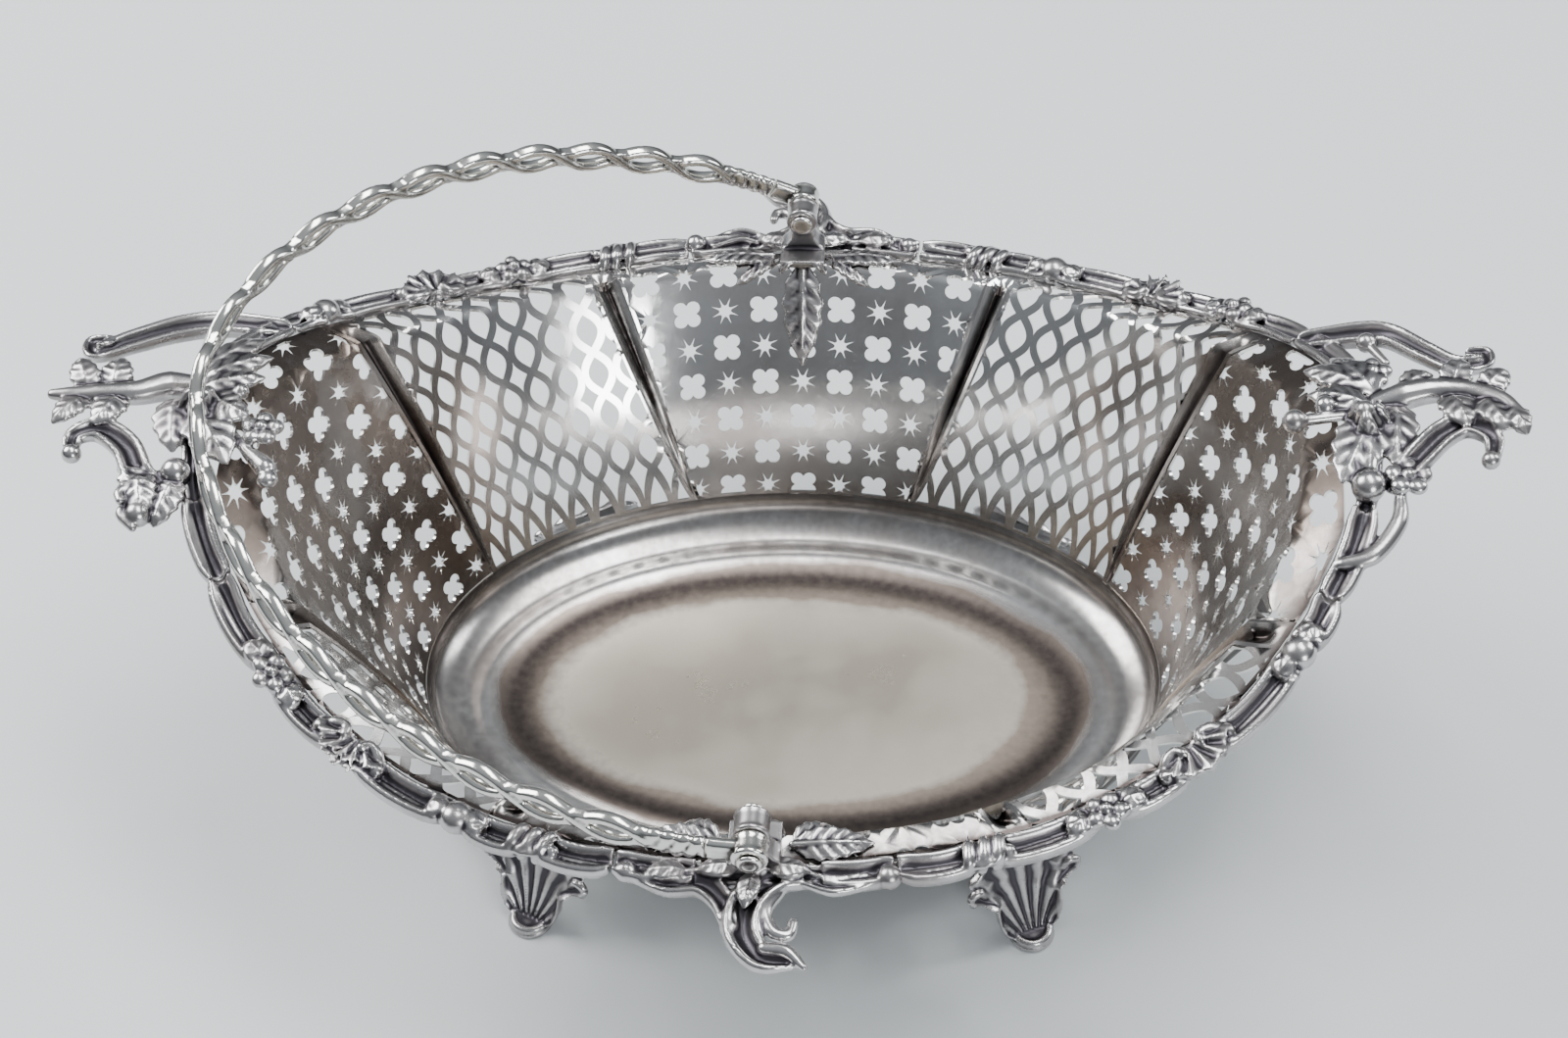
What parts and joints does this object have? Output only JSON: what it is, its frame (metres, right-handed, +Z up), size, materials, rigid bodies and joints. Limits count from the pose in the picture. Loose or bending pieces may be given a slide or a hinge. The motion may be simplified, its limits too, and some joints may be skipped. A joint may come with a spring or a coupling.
{
  "type": "pierced cake basket with swing handle",
  "caption": "Oval boat-shaped silver basket with a pierced and fluted wall, cast scroll border, swinging openwork handle and shell feet.",
  "frame": {"origin": "on the table under the middle of the basket, midway between the two end tips", "axes": "+X along the length towards the right end, +Y away from the viewer along the hinge axis, +Z up"},
  "size_m": [0.3573, 0.2662, 0.1434],
  "materials": {
    "sheet_silver": "raised silver sheet, satin with fine scratches and tarnish in the corners",
    "cast_silver": "cast and chased silver, polished high points and dark recesses",
    "handle_silver": "cast openwork silver band, bright polish",
    "pin_silver": "turned silver pin, riveted end, worn polish"
  },
  "bodies": {
    "basket": {"body": "sheet_silver", "middle_crest_back": "cast_silver", "hinge_lug_back": "cast_silver", "hinge_pin_back": "pin_silver", "border_back_right": "cast_silver", "hinge_leaf_back_right": "cast_silver", "foot_back_right": "cast_silver", "border_back_left": "cast_silver", "hinge_leaf_back_left": "cast_silver", "foot_back_left": "cast_silver", "middle_crest_front": "cast_silver", "hinge_lug_front": "cast_silver", "hinge_pin_front": "pin_silver", "border_front_right": "cast_silver", "hinge_leaf_front_right": "cast_silver", "foot_front_right": "cast_silver", "border_front_left": "cast_silver", "hinge_leaf_front_left": "cast_silver", "foot_front_left": "cast_silver", "end_crest_right": "cast_silver", "end_crest_left": "cast_silver"},
    "swing_handle": {"handle": "handle_silver", "handle_knuckle_back": "handle_silver", "handle_knuckle_front": "handle_silver"}
  },
  "joints": [
    {"name": "handle_swing", "type": "hinge", "parent": "basket", "child": "swing_handle", "pos_m": [0, 0, 0.095], "axis": [0, 1, 0], "range_deg": [0, 150]}
  ]
}
